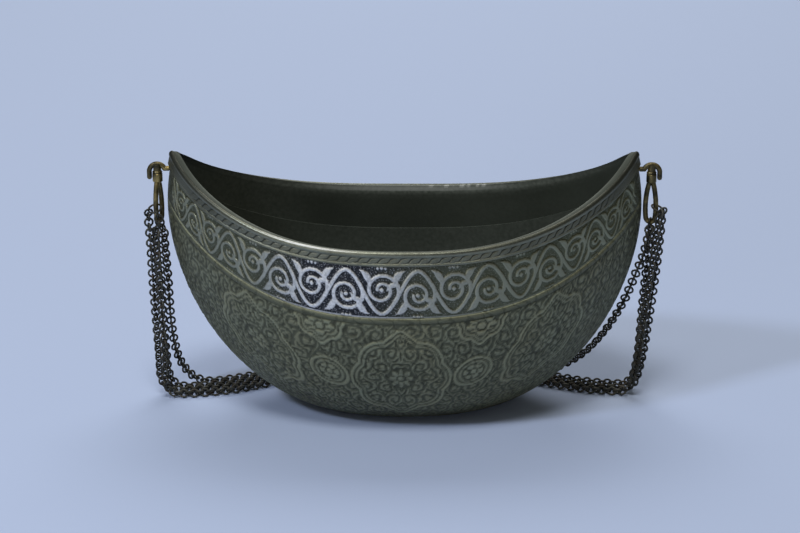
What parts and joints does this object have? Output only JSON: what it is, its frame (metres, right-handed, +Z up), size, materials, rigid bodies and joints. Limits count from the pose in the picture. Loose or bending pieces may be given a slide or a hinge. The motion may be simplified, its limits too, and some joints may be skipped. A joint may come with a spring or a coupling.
{
  "type": "begging bowl",
  "caption": "Boat-shaped kashkul begging bowl of tinned copper with a chased frieze, swivelling brass shackles at both prows and iron carrying chains between them.",
  "frame": {"origin": "under the middle of the flat base, on the surface that the bowl stands on", "axes": "+X from the left prow to the right prow as pictured, +Y away from the camera, +Z up"},
  "size_m": [0.3317, 0.1494, 0.1685],
  "materials": {
    "tinned_copper": "tinned copper, worn bright on the raised ornament, dark brown-green patina in the ground",
    "rim_tin": "tinned copper strip, worn along its crown",
    "brass": "dull aged brass",
    "iron": "dark iron wire, slight rust"
  },
  "bodies": {
    "bowl": {"bowl_shell": "tinned_copper", "rim_strip_front": "rim_tin", "rim_strip_back": "rim_tin", "prow_rivet_left": "brass", "prow_rivet_right": "brass", "arm_left": "brass", "arm_right": "brass", "arm_rove_left": "brass", "arm_rove_right": "brass", "swivel_pin_left": "brass", "swivel_pin_right": "brass", "swivel_collar_left": "brass", "swivel_collar_right": "brass", "chain_a_left": "iron", "chain_b_left": "iron", "chain_c_left": "iron", "chain_d_left": "iron", "chain_a_floor": "iron", "chain_b_floor": "iron", "chain_c_floor": "iron", "chain_d_floor": "iron", "chain_a_right": "iron", "chain_b_right": "iron", "chain_c_right": "iron", "chain_d_right": "iron"},
    "left_shackle": {"shackle_left": "brass", "foot_ring_left": "iron", "side_ring_left": "iron"},
    "right_shackle": {"shackle_right": "brass", "foot_ring_right": "iron", "side_ring_right": "iron"}
  },
  "joints": [
    {"name": "left_swivel", "type": "hinge", "parent": "bowl", "child": "left_shackle", "pos_m": [-0.1557, 0, 0.151], "axis": [0, 0, 1], "range_deg": [-75, 45], "deforming": ["chain_a_left", "chain_b_left", "chain_c_left", "chain_d_left"]},
    {"name": "right_swivel", "type": "hinge", "parent": "bowl", "child": "right_shackle", "pos_m": [0.1557, 0, 0.151], "axis": [0, 0, 1], "range_deg": [-75, 75], "deforming": ["chain_a_right", "chain_b_right", "chain_c_right", "chain_d_right"]}
  ]
}
